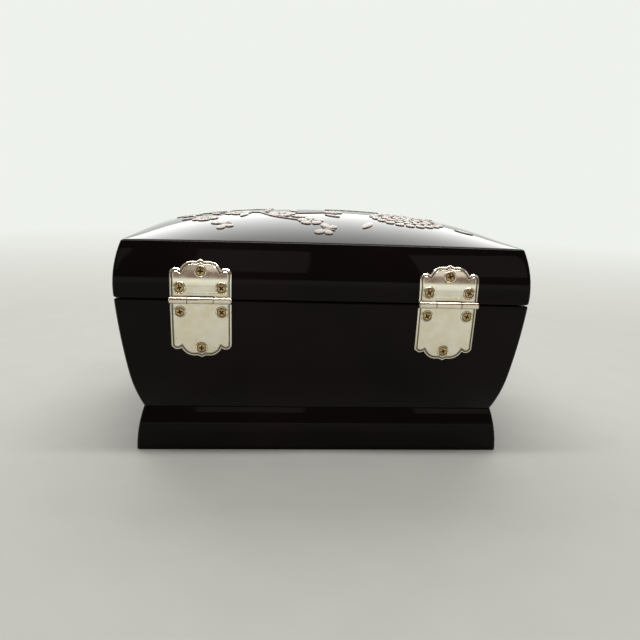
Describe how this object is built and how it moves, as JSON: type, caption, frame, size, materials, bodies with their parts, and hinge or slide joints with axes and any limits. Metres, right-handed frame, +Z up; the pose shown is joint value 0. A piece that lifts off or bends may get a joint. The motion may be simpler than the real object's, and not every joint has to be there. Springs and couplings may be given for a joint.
{
  "type": "lacquered jewelry box",
  "caption": "Domed-lid jewelry box in black gloss lacquer with scalloped hinges, a hasp, a curved drawer and a moulded plinth.",
  "frame": {"origin": "on the table, under the middle of the box", "axes": "+Z up, +X along the width, -Y out of the front with the drawer and the hasp, +Y out of the hinged back"},
  "size_m": [0.24, 0.181, 0.1424],
  "materials": {
    "black_lacquer": "black gloss lacquer",
    "pale_wood": "satin",
    "velvet": "crimson velvet",
    "felt": "dark green felt",
    "plated_brass": "pale gold plate",
    "screw_brass": "polished",
    "mirror_glass": "silvered glass"
  },
  "bodies": {
    "case": {"plinth_back_rail": "black_lacquer", "plinth_left_rail": "black_lacquer", "plinth_front_rail": "black_lacquer", "plinth_right_rail": "black_lacquer", "case_back_wall": "black_lacquer", "case_left_wall": "black_lacquer", "case_right_wall": "black_lacquer", "case_front_lower_rail": "black_lacquer", "case_front_upper_rail": "black_lacquer", "case_front_left_stile": "black_lacquer", "case_front_right_stile": "black_lacquer", "floor_board": "pale_wood", "divider_board": "pale_wood", "drawer_runner_left": "pale_wood", "drawer_runner_right": "pale_wood", "drawer_guide_left": "pale_wood", "drawer_guide_right": "pale_wood", "compartment_liner": "velvet", "compartment_pad": "velvet", "long_partition": "velvet", "short_partition_left": "velvet", "short_partition_right": "velvet", "ring_rolls": "velvet", "hinge_left_case_leaf": "plated_brass", "hinge_right_case_leaf": "plated_brass", "hinge_left_pin": "plated_brass", "hinge_right_pin": "plated_brass", "hinge_case_screws": "screw_brass", "staple_plate": "plated_brass", "staple": "plated_brass", "staple_screws": "screw_brass", "base_felt": "felt"},
    "lid": {"lid_back_rail": "black_lacquer", "lid_left_rail": "black_lacquer", "lid_front_rail": "black_lacquer", "lid_right_rail": "black_lacquer", "lid_top_panel": "black_lacquer", "hinge_left_lid_leaf": "plated_brass", "hinge_right_lid_leaf": "plated_brass", "hinge_lid_screws": "screw_brass", "hasp_plate": "plated_brass", "hasp_pin": "plated_brass", "hasp_screws": "screw_brass", "ceiling_board": "velvet", "lid_liner": "velvet", "lid_mirror": "mirror_glass", "mirror_bezel": "plated_brass"},
    "hasp": {"hasp_strap": "plated_brass"},
    "drawer": {"drawer_front": "black_lacquer", "drawer_left_side": "pale_wood", "drawer_right_side": "pale_wood", "drawer_back": "pale_wood", "drawer_bottom": "pale_wood", "drawer_pad": "velvet", "pull_rosette": "plated_brass", "pull_bolt": "plated_brass", "pull_nut": "plated_brass"},
    "pull": {"pull_ring": "plated_brass"}
  },
  "joints": [
    {"name": "lid_hinge", "type": "hinge", "parent": "case", "child": "lid", "pos_m": [0, 0.08687, 0.09505], "axis": [-1, 0, 0], "range_deg": [0, 105]},
    {"name": "hasp_hinge", "type": "hinge", "parent": "lid", "child": "hasp", "pos_m": [0, -0.08682, 0.0985], "axis": [-1, 0, 0], "range_deg": [-9, 150]},
    {"name": "drawer_slide", "type": "slide", "parent": "case", "child": "drawer", "axis": [0, -1, 0], "range_m": [0, 0.1]},
    {"name": "pull_swing", "type": "hinge", "parent": "drawer", "child": "pull", "pos_m": [0, -0.08463, 0.05], "axis": [-1, 0, 0], "range_deg": [0, 95]}
  ]
}
